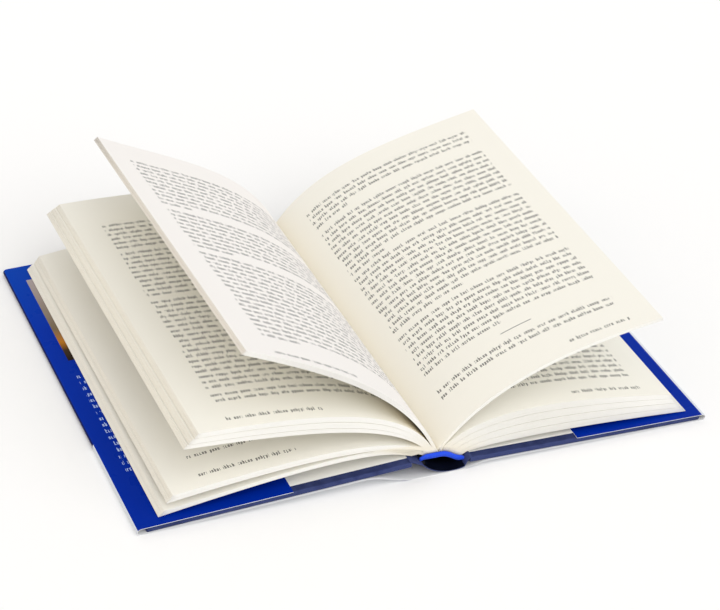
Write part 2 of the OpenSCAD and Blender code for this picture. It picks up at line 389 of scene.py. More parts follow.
def makeEdge(name):
    # cut edges of the leaves, with faint streaks along them
    spec = edgeSpec
    material, tree, shader = startMaterial(name, spec["finish"])
    coords = objectCoords(tree)
    streak = noise(tree, stretch(tree, coords, spec["streakStretch"]), 1.0, spec["streakDetail"])
    patch = calc(tree, "MULTIPLY", noise(tree, coords, spec["patch"]), spec["patchShare"])
    share = calc(tree, "MULTIPLY_ADD", streak, spec["streakShare"], patch)
    _, y = sheetPlace(tree)
    atEnd = above(tree, calc(tree, "ABSOLUTE", y), spec["endFrom"])
    # painted shade on the fore-edges, painted light on the tail and head ends
    tint = mixColour(tree, atEnd, spec["fore"], spec["end"])
    shade = mixColour(tree, spec["dark"], tint, black)
    tint = mixColour(tree, share, shade, mixColour(tree, spec["light"], tint, white))
    # painted warm shade near the gutter on the cut edges
    tree.links.new(shadeByGutter(tree, tint, "edge"), shader.inputs["Base Color"])
    addBump(tree, shader, streak, *spec["bump"])
    return material


papers = {tint: makePaper(tint + "Paper", paperSpec[tint], gutterShade=True) for tint in ("cream", "rose")}
endPaper = makePaper("endPaper", paperSpec["endpaper"])
leafEdge = makeEdge("leafEdge")
print("paper ready")

# Print: word-like bars in rows, in no script

barSpec = {
    "word": 7.6,
    "wordSpread": 0.85,
    "space": 1.75,
    "cell": 1.42,           # room for one mark in a word
    "rowShift": 211.7,      # from the words of one row to those of the next
    "blockRows": 40.0,      # row numbers kept for each block
    "firstRow": 3.0,
    "draws": (0.0, 0.31, 0.62),    # a mark's shape, width and tie
    # shares of a mark's room
    "firstStroke": (0.05, 0.33),
    "secondStroke": (0.42, 0.68),
    "tieAcross": (0.05, 0.68),
    # shares of a row's height, from its top
    "body": (0.36, 0.74),
    "ascender": 0.2,
    "descender": 0.15,
    "topTie": (0.40, 0.045),       # middle and half thickness
    "bottomTie": (0.70, 0.045),
    # shares of the marks
    "ascenderBelow": 0.27,
    "descenderAbove": 0.9,
    "doubleAbove": 0.3,
    "topTieBelow": 0.62,
    "bottomTieAbove": 0.38,
}


def inkedRows(tree, across, y, layout, pitch, rise):
    # whether a point is in a block of lines, the number of its row and its place in the row's height
    inside, rowNumber, rowPart = 0.0, 0.0, 0.0
    for index, (middle, lines, start, end, lastEnd) in enumerate(layout):
        rows = calc(tree, "DIVIDE", calc(tree, "SUBTRACT", middle + rise, y), pitch)
        within = between(tree, rows, 0.0, lines)
        isLast = above(tree, rows, lines - 1.0)
        rowEnd = calc(tree, "MULTIPLY_ADD", isLast, lastEnd - end, end)
        inside = calc(tree, "MULTIPLY_ADD", within, between(tree, across, start, rowEnd), inside)
        first = barSpec["blockRows"] * index + barSpec["firstRow"]
        number = calc(tree, "ADD", calc(tree, "FLOOR", rows), first)
        rowNumber = calc(tree, "MULTIPLY_ADD", within, number, rowNumber)
        rowPart = calc(tree, "MULTIPLY_ADD", within, calc(tree, "FRACT", rows), rowPart)
    return inside, rowNumber, rowPart


def wordBars(tree, across, y, layout, pitch, rise):
    # marks of one or two upright strokes, tied at top or bottom
    spec = barSpec
    inside, rowNumber, rowPart = inkedRows(tree, across, y, layout, pitch, rise)
    place = calc(tree, "MULTIPLY_ADD", rowNumber, spec["rowShift"], across)
    words = tree.nodes.new("ShaderNodeTexVoronoi")
    words.voronoi_dimensions = "1D"
    words.feature = "DISTANCE_TO_EDGE"
    words.inputs["Scale"].default_value = 1 / spec["word"]
    words.inputs["Randomness"].default_value = spec["wordSpread"]
    tree.links.new(place, words.inputs["W"])
    inWord = above(tree, words.outputs["Distance"], spec["space"] / 2 / spec["word"])
    cells = calc(tree, "DIVIDE", place, spec["cell"])
    cell, part = calc(tree, "FLOOR", cells), calc(tree, "FRACT", cells)
    shape, width, link = (randomOf(tree, calc(tree, "ADD", cell, draw)) for draw in spec["draws"])
    bodyTop, bodyBottom = spec["body"]
    top = calc(tree, "MULTIPLY_ADD", below(tree, shape, spec["ascenderBelow"]), -spec["ascender"], bodyTop)
    deep = above(tree, shape, spec["descenderAbove"])
    bottom = calc(tree, "MULTIPLY_ADD", deep, spec["descender"], bodyBottom)
    first = both(tree, between(tree, part, *spec["firstStroke"]), between(tree, rowPart, top, bottom))
    second = both(tree, between(tree, part, *spec["secondStroke"]), between(tree, rowPart, *spec["body"]))
    second = both(tree, second, above(tree, width, spec["doubleAbove"]))
    atTop = calc(tree, "COMPARE", rowPart, *spec["topTie"])
    atBottom = calc(tree, "COMPARE", rowPart, *spec["bottomTie"])
    tied = either(
        tree,
        both(tree, below(tree, link, spec["topTieBelow"]), atTop),
        both(tree, above(tree, link, spec["bottomTieAbove"]), atBottom),
    )
    ties = both(tree, between(tree, part, *spec["tieAcross"]), tied)
    bars = either(tree, ties, either(tree, first, second))
    return both(tree, both(tree, inside, inWord), bars)


pageSpec = {
    "inner": 19.0,       # from the gutter to the text
    "width": 112.0,
    "pitch": 4.78,       # from line to line
    "rise": 2.5,         # from the middle of a line to the top of its row
    "ink": (0.02, 0.02, 0.022),
    "wear": 900.0,
    "wearShares": (0.85, 1.0),
}

full = pageSpec["width"]
# Blocks of lines: middle of the first line, lines, start, end, end of the last line
pageLayouts = {
    "second": [
        (95.0, 14, 9, full, 71), (20.8, 9, 9, full, 40), (-28.2, 12, 9, full, full),
        (-89.8, 1, 3.6, full, full), (-105.0, 1, 3.6, 58, 58),
    ],
    "third": [
        (83.9, 6, 0, full, 88), (53.0, 10, 0, full, 42), (2.6, 18, 0, full, 96),
        (-85.7, 2, 0, full, full), (-106.3, 1, 0, 54, 54),
    ],
    "leftFan": [
        (91.9, 11, 0, full, 20), (35.5, 9, 0, full, 28), (-10.8, 18, 0, full, 24),
        (-108.5, 1, 0, 54, 54),
    ],
    "rightFan": [
        (95.4, 4, 0, full, 24), (72.5, 10, 0, full, 26), (23.8, 12, 0, full, 50),
        (-36.4, 8, 0, full, 52), (-86.2, 2, 0, full, full), (-106.0, 1, 75, full, full),
    ],
    "last": [
        (95.4, 11, 0, full, 80), (38.6, 14, 0, full, 66), (-32.3, 14, 0, full, full),
        (-106.4, 1, 66, full, full),
    ],
    "plainText": [
        (95.4, 16, 0, full, 60), (14.2, 13, 0, full, 84), (-52.8, 9, 0, full, full),
        (-106.0, 1, 60, full, full),
    ],
}
pageRules = {"rightFan": (47.0, 66.0, -78.5, 0.22)}   # start, end, middle and half thickness


def makePrint(name, colour, layout, leftPage, rule=None, shadeKind="page"):
    spec = pageSpec
    material, tree, shader = startMaterial(name, paperSpec["finish"])
    # painted warm shade near the gutter, under the print
    plain = shadeByGutter(tree, paperGrain(tree, shader, colour), shadeKind)
    run, y = sheetPlace(tree)
    if leftPage:
        across = calc(tree, "SUBTRACT", spec["inner"] + spec["width"], run)
    else:
        across = calc(tree, "SUBTRACT", run, spec["inner"])
    ink = wordBars(tree, across, y, layout, spec["pitch"], spec["rise"])
    if rule:
        start, end, middle, half = rule
        line = calc(tree, "COMPARE", across, (start + end) / 2, (end - start) / 2)
        ink = either(tree, ink, both(tree, line, calc(tree, "COMPARE", y, middle, half)))
    wear = spread(tree, noise(tree, objectCoords(tree), spec["wear"]), *spec["wearShares"])
    tree.links.new(mixColour(tree, both(tree, ink, wear), plain, spec["ink"]), shader.inputs["Base Color"])
    return material


# Leaves: six packs fanned from the gutter, each between two curves

leafSpec = {
    "seed": 11,
    "height": 228.6,
    "leafGrid": (36, 4),
    "pageGrid": (80, 12),
    "foreJitter": 0.2,
    "endJitter": 0.10,
    "fill": 0.9,          # sheet thickness as a share of the room for each leaf
    "sectionGap": 0.8,    # between sewn sections, in leaves
    "sectionStep": 0.35,  # how far one section's fore-edge may stand back
    "sectionNotch": 0.7,  # how far the first leaf of a section stands back
    "rootReach": 0.38,    # bend between the back and the root, as a share of its length
    "rootSteps": 10,
    "curveSteps": 120,
    "foot": (0.9, 10.95),   # place on the back below the gutter
    # two curves across the back, which share their middle point
    "back": [
        (-8.03, 11.1), (-5.14, 10.99), (-1.29, 10.94), (1.6, 10.94),
        (7.75, 10.94), (11.18, 5.57), (15.28, 5.57),
    ],
    "backMiddle": 3,
    "backSteps": 24,
    "backParts": 400,
}

# Curves: root, tail corner, head corner, rise, two bends as shares of the chord and the rise, and
# for the standing leaves how much flatter the head lies than the tail
leafCurves = {
    "firstUnder": ((-16.6, 12.44), (-157.5, 5.05), (-157.5, 5.05), 12.0, (0.12, 0.8), (0.38, 0.86)),
    "firstTop": ((-29.47, 20.06), (-154.5, 8.45), (-154.5, 8.45), 12.54, (0.234, 0.466), (0.604, 0.205)),
    "secondUnder": (
        (-29.47, 20.06), (-153.2, 13.25), (-153.2, 9.25), 12.54, (0.257, 0.502), (0.604, 0.364),
    ),
    "secondTop": (
        (-7.77, 15.05), (-150.2, 17.65), (-150.2, 13.65), 12.54, (0.198, 1.218), (0.536, 0.756),
    ),
    "thirdUnder": ((-7.77, 15.05), (-146.5, 46.7), (-146.5, 42.2), 12.54, (0.155, 1.384), (0.504, 0.99)),
    "thirdTop": ((-2.51, 13.67), (-139.2, 55.1), (-139.2, 47.8), 12.54, (0.155, 2.217), (0.491, 1.591)),
    "leftFanUnder": (
        (-2.51, 13.67), (-120.0, 100.0), (-120.0, 88.5), 12.54, (0.193, 2.042), (0.571, 1.196), 7.3,
    ),
    "leftFanTop": (
        (0.0, 12.54), (-118.0, 102.0), (-118.0, 90.5), 12.54, (0.19, 2.276), (0.58, 1.367), 7.3,
    ),
    "rightFanTop": ((0.0, 12.54), (127.7, 76.0), (127.7, 77.2), 12.54, (0.17, 2.014), (0.49, 1.729), 5.5),
    "rightFanUnder": (
        (2.51, 13.29), (128.5, 74.0), (128.5, 75.2), 12.54, (0.174, 1.812), (0.48, 1.689), 5.5,
    ),
    "lastTop": ((2.51, 13.29), (146.0, 19.18), (146.0, 19.18), 12.54, (0.155, 1.769), (0.501, 1.271)),
    "lastUnder": ((18.48, 7.71), (159.5, 4.68), (159.5, 4.68), 5.0, (0.12, 0.62), (0.45, 0.9)),
}

# Packs from the left of the back to the right: first curve, last curve, leaves in each section and
# room for each leaf
leafPacks = {
    "first": ("firstUnder", "firstTop", (6, 7), 0.29),
    "second": ("secondUnder", "secondTop", (8, 9), 0.33),
    "third": ("thirdUnder", "thirdTop", (9, 12, 11), 0.31),
    "leftFan": ("leftFanUnder", "leftFanTop", (8,), 0.32),
    "rightFan": ("rightFanTop", "rightFanUnder", (8,), 0.27),
    "last": ("lastTop", "lastUnder", (12, 13, 13, 12), 0.31),
}
leafTints = {"leftFan": "rose"}    # the other packs are cream
printedSides = {
    "second": ("top",), "third": ("top", "under"), "leftFan": ("top", "under"),
    "rightFan": ("top", "under"), "last": ("top",),
}
wedgePages = ("thirdTopPage", "leftFanUnderPage")   # painted brown shade, deeper in the narrow gap between them


def isLeft(pack):
    # whether a pack lies to the left of the gutter
    firstCurve = leafCurves[leafPacks[pack][0]]
    return firstCurve[1][0] < 0


def controls(curve, end):
    # the four points of a curve at the tail (end 0) or the head (end 1)
    root, corner, rise = curve[0], curve[1 + end], curve[3]
    flatter = sum(curve[6:]) * end
    bends = []
    for (share, lift), drop in zip(curve[4:6], (0.0, flatter)):
        x, z = mix(root, corner, share)
        bends.append((x, z + rise * lift - drop))
    return [root, *bends, corner]


def backPath():
    points, middle, steps = leafSpec["back"], leafSpec["backMiddle"], leafSpec["backSteps"]
    return bezierPath(points[:middle + 1], steps) + bezierPath(points[middle:], steps)[1:]


def leafFeet():
    # a place on the back for each leaf: the left leaves share it up to the foot, the right leaves the rest
    counts = {True: 0, False: 0}
    for pack, (_, _, sections, _) in leafPacks.items():
        counts[isLeft(pack)] += sum(sections)
    parts = leafSpec["backParts"]
    path, _ = evenPath(backPath(), parts)
    middle = min(range(len(path)), key=lambda i: math.dist(path[i], leafSpec["foot"]))
    spots = [(k + 0.5) / counts[True] * middle for k in range(counts[True])]
    spots += [middle + (k + 0.5) / counts[False] * (parts - middle) for k in range(counts[False])]
    return [mix(path[int(spot)], path[int(spot) + 1], spot - int(spot)) for spot in spots]


def leafPath(low, high, share, end, foot, setBack, steps):
    spec = leafSpec
    points = [mix(a, b, share) for a, b in zip(controls(low, end), controls(high, end))]
    way = Vector(points[3]) - Vector(points[2])
    points[3] = tuple(Vector(points[3]) - way.normalized() * setBack)
    root = Vector(points[0])
    lead = (Vector(points[1]) - root).normalized()
    reach = spec["rootReach"] * math.dist(foot, root)
    bends = [(foot[0], foot[1] + reach), tuple(root - lead * reach)]
    inner = bezierPath([foot, *bends, points[0]], spec["rootSteps"])
    even, total = evenPath(inner + bezierPath(points, spec["curveSteps"])[1:], steps)
    hidden = lengths(inner)[-1]
    return even, [total * i / steps - hidden for i in range(steps + 1)]


def finishLeaves(piece, room):
    thicken(piece, room * leafSpec["fill"], 1, 2)
    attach(piece, "text_block")
    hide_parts("text_block")


def buildPage(pack, side, sheet, plain, room):
    name = pack + side.capitalize() + "Page"
    # the wedge pages take a deeper, longer painted shade near the gutter
    shadeKind = "wedge" if name in wedgePages else "page"
    if side == "top":
        tint = paperSpec[leafTints.get(pack, "cream")]
        inked = makePrint(name + "Print", tint, pageLayouts[pack], isLeft(pack), pageRules.get(pack), shadeKind)
    else:
        layout = pageLayouts["plainText"]
        inked = makePrint(name + "Print", paperSpec["cream"], layout, not isLeft(pack), shadeKind=shadeKind)
    finishLeaves(makePiece(name, sheet, [inked, plain, leafEdge]), room)


def buildPack(pack, feet, draw):
    spec = leafSpec
    lowName, highName, sections, room = leafPacks[pack]
    low, high = leafCurves[lowName], leafCurves[highName]
    onLeft = isLeft(pack)
    count = sum(sections)
    topLeaf, underLeaf = (count - 1, 0) if onLeft else (0, count - 1)
    sides = {topLeaf: "top", underLeaf: "under"}
    layers = count + spec["sectionGap"] * (len(sections) - 1)
    plain = papers[leafTints.get(pack, "cream")]
    stack = bmesh.new()
    leaf = 0
    for number, section in enumerate(sections):
        step = draw.uniform(0, 1) * spec["sectionStep"]
        for place in range(section):
            side = sides.get(leaf)
            printed = side in printedSides.get(pack, ())
            setBack = draw.uniform(0, 1) * spec["foreJitter"] + step
            if place == 0 and number > 0:
                setBack += spec["sectionNotch"]
            ends = tuple(e * (spec["height"] / 2 - draw.uniform(0, 1) * spec["endJitter"]) for e in (-1, 1))
            share = (leaf + 0.5 + number * spec["sectionGap"]) / layers
            along, across = spec["pageGrid" if printed else "leafGrid"]
            foot = next(feet)
            tail, tailRun = leafPath(low, high, share, 0, foot, setBack, along)
            head, headRun = leafPath(low, high, share, 1, foot, setBack, along)
            sheet = bmesh.new() if printed else stack
            faceUp = side != "under" or not printed
            addSheet(sheet, tail, head, ends, across, (tailRun, headRun), flip=onLeft == faceUp)
            if printed:
                buildPage(pack, side, sheet, plain, room)
            leaf += 1
    finishLeaves(makePiece(pack + "Leaves", stack, [plain, plain, leafEdge]), room)
    print("leaves", pack, count)


def buildLeaves():
    draw = random.Random(leafSpec["seed"])
    feet = iter(leafFeet())
    for pack in leafPacks:
        buildPack(pack, feet, draw)


buildLeaves()

# Covers: cloth over board, seen as one rounded slab on each side

coverSpec = {
    "front": {"side": -1, "body": "front_cover", "rise": 8.0, "slack": 5.2},
    "back": {"side": 1, "body": "back_cover", "rise": 3.2, "slack": 3.2},
    "reach": 170.0,         # from the gutter to the outside of the jacket's folds
    "foldOut": 2.075,       # outer radius of those folds
    "foldMiddle": 1.775,    # their middle, above the outside of the cover
    "start": 0.3,           # from the joint to the cloth
    "height": 237.8,
    "thickness": 3.3,
    "edgeRound": 0.75,
    "cornerRound": 1.1,
    "roundSteps": 3,
    "roundArea": 50.0,      # faces smaller than this are parts of the rounding
    "levelWithin": 1e-6,
}


def placeCovers(spec):
    # the front cover slopes down from its joint to its fold, and the back cover is as wide
    front, back = spec["front"], spec["back"]
    for cover in (front, back):
        x, _, z = next(joint["pos_m"] for joint in frame["joints"] if joint["child"] == cover["body"])
        cover["joint"] = (x / mm, z / mm)
    reach = spec["reach"] + front["joint"][0]
    slope = math.atan2(front["rise"], reach)
    front["slope"] = slope
    front["fold"] = (reach - spec["foldOut"] - spec["foldMiddle"] * math.sin(slope)) / math.cos(slope)
    spec["width"] = front["fold"] + spec["foldOut"] - front["slack"] - spec["start"]
    back["fold"] = spec["start"] + spec["width"] + back["slack"] - spec["foldOut"]
    back["slope"] = math.asin(back["rise"] / (spec["width"] + back["slack"]))


placeCovers(coverSpec)


def onCover(cover, u, w):
    # a point at distance u from the joint and w above the outside of the cover
    slope = cover["slope"]
    x = u * math.cos(slope) + w * math.sin(slope)
    z = w * math.cos(slope) - u * math.sin(slope)
    return cover["joint"][0] + cover["side"] * x, cover["joint"][1] + z


clothSpec = {
    "navy": {
        "base": (0.005, 0.008, 0.036), "light": (0.015, 0.025, 0.10), "wornHighlight": (0.045, 0.06, 0.17),
        "finish": {"Specular IOR Level": 0.06, "Sheen Weight": 0.02},
    },
    # cloth in the hollow: the navy darkened to near black, as painted shade
    "inner": {
        "base": (0.0006, 0.0008, 0.002), "light": (0.0015, 0.002, 0.006), "wornHighlight": (0.003, 0.004, 0.01),
        "finish": {"Specular IOR Level": 0.0, "Sheen Weight": 0.0},
    },
    "thread": 0.62,
    "slub": 420.0,
    "slubStretch": (1.0, 0.2, 1.0),
    "slubShare": 0.5,
    "lightShare": 0.75,
    "rubHighlight": 130.0,
    "rubHighlightRange": (-8.0, 9.0),     # paler where the surface is sharp: rubbed cloth and a painted highlight on the rounded edges
    "bump": (0.55, 0.12),
    "finish": {"Roughness": 0.72, "Sheen Roughness": 0.5},
}


def makeCloth(name, tints):
    spec = clothSpec
    material, tree, shader = startMaterial(name, spec["finish"] | tints["finish"])
    coords = objectCoords(tree)
    x, y, z = splitUp(tree, coords)
    one = calc(tree, "ADD", calc(tree, "ADD", x, y), z)
    other = calc(tree, "SUBTRACT", calc(tree, "SUBTRACT", x, y), z)
    weave = both(tree, ripple(tree, one, spec["thread"]), ripple(tree, other, spec["thread"]))
    slub = noise(tree, stretch(tree, coords, spec["slubStretch"]), spec["slub"])
    height = calc(tree, "MULTIPLY_ADD", slub, spec["slubShare"], weave)
    tint = mixColour(tree, calc(tree, "MULTIPLY", height, spec["lightShare"]), tints["base"], tints["light"])
    sharp = tree.nodes.new("ShaderNodeNewGeometry").outputs["Pointiness"]
    # paler at sharp edges: rubbed cloth, and a painted highlight along the rounded edges
    rubHighlight = both(tree, spread(tree, sharp, *spec["rubHighlightRange"]), noise(tree, coords, spec["rubHighlight"]))
    tree.links.new(mixColour(tree, clamp(tree, rubHighlight), tint, tints["wornHighlight"]), shader.inputs["Base Color"])
    addBump(tree, shader, height, *spec["bump"])
    return material


navyCloth = makeCloth("navyCloth", clothSpec["navy"])
hollowShadeCloth = makeCloth("hollowShadeCloth", clothSpec["inner"])


def roundEdges(bm, edges, radius):
    steps = coverSpec["roundSteps"]
    bmesh.ops.bevel(bm, geom=edges, offset=radius, affect="EDGES", segments=steps, profile=0.5, material=-1)


def buildCover(which, node):
    cover, spec = coverSpec[which], coverSpec
    bm = bmesh.new()
    bmesh.ops.create_cube(bm, size=1.0)
    bmesh.ops.scale(bm, vec=(spec["width"], spec["height"], spec["thickness"]), verts=bm.verts)
    # only the two corners at the fore-edge are rounded, because the joint cloth meets the others
    upright = [e for e in bm.edges if e.verts[0].co.xy == e.verts[1].co.xy and e.verts[0].co.x > 0]
    roundEdges(bm, upright, spec["cornerRound"])
    rims = [e for e in bm.edges if abs(e.verts[0].co.z - e.verts[1].co.z) < spec["levelWithin"]]
    roundEdges(bm, rims, spec["edgeRound"])
    for vert in bm.verts:
        u = vert.co.x + spec["width"] / 2 + spec["start"]
        x, z = onCover(cover, u, vert.co.z + spec["thickness"] / 2)
        vert.co = Vector((x, vert.co.y, z)) * mm
    bm.normal_update()    # the front cover is mirrored
    bmesh.ops.recalc_face_normals(bm, faces=bm.faces)
    for face in bm.faces:
        face.smooth = face.calc_area() < spec["roundArea"] * mm * mm
    piece = makePiece(which + "CoverCloth", bm, [navyCloth])
    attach(piece, cover["body"])
    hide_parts(node)


buildCover("front", "front_cloth")
buildCover("back", "back_cloth")
print("covers done")

# Spine and joints: one strip of cloth, in two halves that meet under the middle of the spine

jointSpec = {
    "middle": (8.5, 26.3),
    "radius": 25.8,
    "front": {"angle": -45.05, "lip": (-16.03, 11.48)},
    "back": {"angle": 16.27, "lip": (17.91, 6.76)},
    "tuck": (1.2, 3.42),        # end of the cloth on the cover
    "crestShare": 0.35,         # crest of the shoulder, from the lip to the tuck
    "crestRise": 0.12,
    "shoulderFrom": 0.55,
    "cloth": 0.5,
    "bend": {"front": (-15.4, -17.8), "back": (17.3, 19.6)},
    "arcSteps": 24,
    "shoulderSteps": 16,
    "steps": 80,
    "across": 8,
}


def spinePlace(angle, radius):
    a = math.radians(angle)
    return jointSpec["middle"][0] + radius * math.sin(a), jointSpec["middle"][1] - radius * math.cos(a)


def buildJoint(which):
    spec, cover = jointSpec, coverSpec[which]
    steps = spec["arcSteps"]
    arc = [spinePlace(spec[which]["angle"] * i / steps, spec["radius"]) for i in range(steps + 1)]
    lip, tuck = spec[which]["lip"], onCover(cover, *spec["tuck"])
    crest = (mix(lip, tuck, spec["crestShare"])[0], max(lip[1], tuck[1]) + spec["crestRise"])
    shoulderStart = mix(arc[-1], lip, spec["shoulderFrom"])
    shoulder = bezierPath([shoulderStart, lip, crest, tuck], spec["shoulderSteps"])
    path, _ = evenPath(arc + shoulder, spec["steps"])
    half = coverSpec["height"] / 2
    bm = bmesh.new()
    addSheet(bm, path, path, (-half, half), spec["across"], flip=which == "back")
    piece = makePiece(which + "JointCloth", bm, [navyCloth])
    thicken(piece, spec["cloth"])
    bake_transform(piece)
    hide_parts("spine_cloth")


buildJoint("front")
buildJoint("back")

# Cloth turned in over the ends of the spine: section as (radius, distance in from the end)
turnInSpec = {
    "section": [
        (25.62, 2.0), (25.62, 0.35), (25.4, 0.08), (24.95, 0.0), (24.5, 0.08), (24.3, 0.35), (24.3, 15.0),
    ],
    "cloth": 0.3,
    "steps": 28,
}


def buildTurnIn(which, end):
    spec = turnInSpec
    first, last = jointSpec["front"]["angle"], jointSpec["back"]["angle"]
    section = spec["section"]
    rows = len(section) - 1
    bm = bmesh.new()
    made = bmesh.ops.create_grid(bm, x_segments=spec["steps"], y_segments=rows, size=1.0)
    for vert in made["verts"]:
        angle = first + (last - first) * (vert.co.x + 1) / 2
        radius, inward = section[round((vert.co.y + 1) / 2 * rows)]
        x, z = spinePlace(angle, radius)
        vert.co = Vector((x, end * (coverSpec["height"] / 2 - inward), z)) * mm
    for face in bm.faces:
        face.smooth = True
    # near-black cloth: painted shade inside the hollow
    piece = makePiece(which + "TurnIn", bm, [hollowShadeCloth])
    thicken(piece, spec["cloth"])
    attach(piece, "text_block")
    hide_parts("spine_cloth")


buildTurnIn("tail", -1)
buildTurnIn("head", 1)
print("joints done")

# Dust jacket: one glossy sheet in two halves that meet under the middle of the spine

jacketSpec = {
    "thickness": 0.3,
    "height": 238.8,
    "middle": 3.0,       # where the halves meet
    "lift": 0.15,        # middle of the sheet above the floor
    "flap": 85.0,
    # where the sheet leaves the floor, where it meets the cover and where the joint bends it
    "front": {"leave": -11.5, "meet": 30.0, "bend": (-13.0, -18.5)},
    "back": {"leave": 12.5, "meet": 14.0, "bend": (15.4, 20.0)},
    "sagShares": (0.42, 0.4),
    "sagSteps": 24,
    "flatSteps": 24,
    "turnSteps": 24,
    "flapSteps": 18,
    "across": 10,
}

glossSpec = {
    # the blue runs from deep at the tail to pale at the head: painted reflection
    "blue": (0.0, 0.034, 0.42),
    "deep": (0.0, 0.021, 0.31),
    "reflectedPale": (0.002, 0.08, 0.46),
    "headwardLight": (1 / 260.0, 0.42),   # painted reflection, brighter towards the head
    "glow": (1.6, -1.0),
    "drift": 9.0,
    "driftRange": (-0.25, 0.25),
    # outside of the covers: run from the fold where it starts and ends, and white below a distance. The dark
    # outer colour is painted shade on the front fold, the white a painted highlight on the folds
    "outer": (0.0, 0.006, 0.09),
    "white": (0.70, 0.74, 0.81),
    "coverRun": -150.0,
    "front": {"paleTo": 1.3, "paleBelow": -48.0},
    "back": {"paleTo": 3.6, "paleBelow": 125.0},
    "reverse": (0.80, 0.81, 0.82),
    # plain field on the front flap, tinted from tail to head, and lines of bars below it
    "field": {"run": (10.5, 72.0), "y": (24.0, 105.0)},
    "fieldTints": [
        (0.0, (0.02, 0.012, 0.008)), (0.12, (0.05, 0.03, 0.015)), (0.22, (0.50, 0.19, 0.02)),
        (0.38, (0.20, 0.15, 0.09)), (0.75, (0.34, 0.28, 0.25)), (1.0, (0.42, 0.36, 0.36)),
    ],
    "bars": [(9.0, 16, 0.0, 60.0, 34.0)],
    "barInner": 10.5,
    "barPitch": 5.5,
    "barRise": 2.5,
    "barTint": (0.45, 0.56, 0.80),
    "smear": 60.0,
    "roughRange": (0.22, 0.36),
    "ripple": 30.0,
    "rippleDetail": 2.0,
    "rippleStretch": (1.0, 0.5, 1.0),
    "bump": (0.1, 0.6),
    "finish": {"Specular IOR Level": 0.03},
}


def addFlapPrint(tree, tint, run, y):
    spec = glossSpec
    across = calc(tree, "SUBTRACT", run, spec["barInner"])
    bars = wordBars(tree, across, y, spec["bars"], spec["barPitch"], spec["barRise"])
    tint = mixColour(tree, bars, tint, spec["barTint"])
    low, high = spec["field"]["y"]
    ramp = tree.nodes.new("ShaderNodeValToRGB")
    tree.links.new(calc(tree, "DIVIDE", calc(tree, "SUBTRACT", y, low), high - low), ramp.inputs[0])
    stops = ramp.color_ramp.elements
    while len(stops) < len(spec["fieldTints"]):
        stops.new(0.5)
    for stop, (place, colour) in zip(stops, spec["fieldTints"]):
        stop.position = place
        stop.color = (*colour, 1.0)
    onField = both(tree, between(tree, run, *spec["field"]["run"]), between(tree, y, low, high))
    return mixColour(tree, onField, tint, ramp.outputs[0])


def makeGloss(which):
    spec, own = glossSpec, glossSpec[which]
    material, tree, shader = startMaterial(which + "JacketPrint", spec["finish"])
    coords = objectCoords(tree)
    run, y = sheetPlace(tree)
    # painted reflection: darker towards the tail, brighter and paler towards the head
    headwardLight = calc(tree, "MULTIPLY_ADD", y, *spec["headwardLight"])
    drift = spread(tree, noise(tree, coords, spec["drift"]), *spec["driftRange"])
    bright = clamp(tree, calc(tree, "ADD", headwardLight, drift))
    tint = mixColour(tree, bright, spec["deep"], spec["blue"])
    glow = clamp(tree, calc(tree, "MULTIPLY_ADD", headwardLight, *spec["glow"]))
    tint = mixColour(tree, glow, tint, spec["reflectedPale"])
    if which == "front":
        tint = addFlapPrint(tree, tint, run, y)
    # painted shade and highlight on the folds: the dark outer colour as shade, the white as highlight
    outside = mixColour(tree, below(tree, y, own["paleBelow"]), spec["outer"], spec["white"])
    tint = mixColour(tree, between(tree, run, spec["coverRun"], own["paleTo"]), tint, outside)
    tree.links.new(tint, shader.inputs["Base Color"])
    smear = spread(tree, noise(tree, coords, spec["smear"]), *spec["roughRange"])
    tree.links.new(smear, shader.inputs["Roughness"])
    ripples = noise(tree, stretch(tree, coords, spec["rippleStretch"]), spec["ripple"], spec["rippleDetail"])
    addBump(tree, shader, ripples, *spec["bump"])
    return material


jacketWhite = makePaper("jacketWhite", glossSpec["reverse"])


def jacketPath(which):
    # from under the spine, up to the cover, along it, round its fold and along the flap
    spec, own, cover = jacketSpec, jacketSpec[which], coverSpec[which]
    under = -spec["thickness"] / 2
    meet = onCover(cover, own["meet"], under)
    leave = (own["leave"], spec["lift"])
    span = abs(meet[0] - leave[0])
    low, high = (span * share for share in spec["sagShares"])
    bends = [(leave[0] + cover["side"] * low, spec["lift"]), onCover(cover, own["meet"] - high, under)]
    sag = bezierPath([leave, *bends, meet], spec["sagSteps"])
    fold, middle = cover["fold"], coverSpec["foldMiddle"]
    radius = coverSpec["foldOut"] - spec["thickness"] / 2
    angles = [math.pi * i / spec["turnSteps"] for i in range(spec["turnSteps"] + 1)]
    turn = [onCover(cover, fold + radius * math.sin(a), middle - radius * math.cos(a)) for a in angles]
    flat = [mix(meet, turn[0], i / spec["flatSteps"]) for i in range(1, spec["flatSteps"])]
    flapEnd = onCover(cover, fold + coverSpec["foldOut"] - spec["flap"], middle + radius)
    flap = [mix(turn[-1], flapEnd, i / spec["flapSteps"]) for i in range(1, spec["flapSteps"] + 1)]
    path = [(spec["middle"], spec["lift"]), *sag, *flat, *turn, *flap]
    run = lengths(path)
    atFold = run[len(sag) + len(flat) + len(turn) // 2 + 1]
    return path, [length - atFold for length in run]


def buildJacket(which):
    spec, cover = jacketSpec, coverSpec[which]
    path, runs = jacketPath(which)
    half = spec["height"] / 2
    bm = bmesh.new()
    addSheet(bm, path, path, (-half, half), spec["across"], (runs, runs), flip=which == "back")
    piece = makePiece(which + "Jacket", bm, [makeGloss(which), jacketWhite, jacketWhite])
    thicken(piece, spec["thickness"], 1, 2)
    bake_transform(piece)
    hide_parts("jacket_spine", "jacket_" + which)


buildJacket("front")
buildJacket("back")
print("jacket done")

# Headbands: a silk-wound tongue and bead along the back at each end

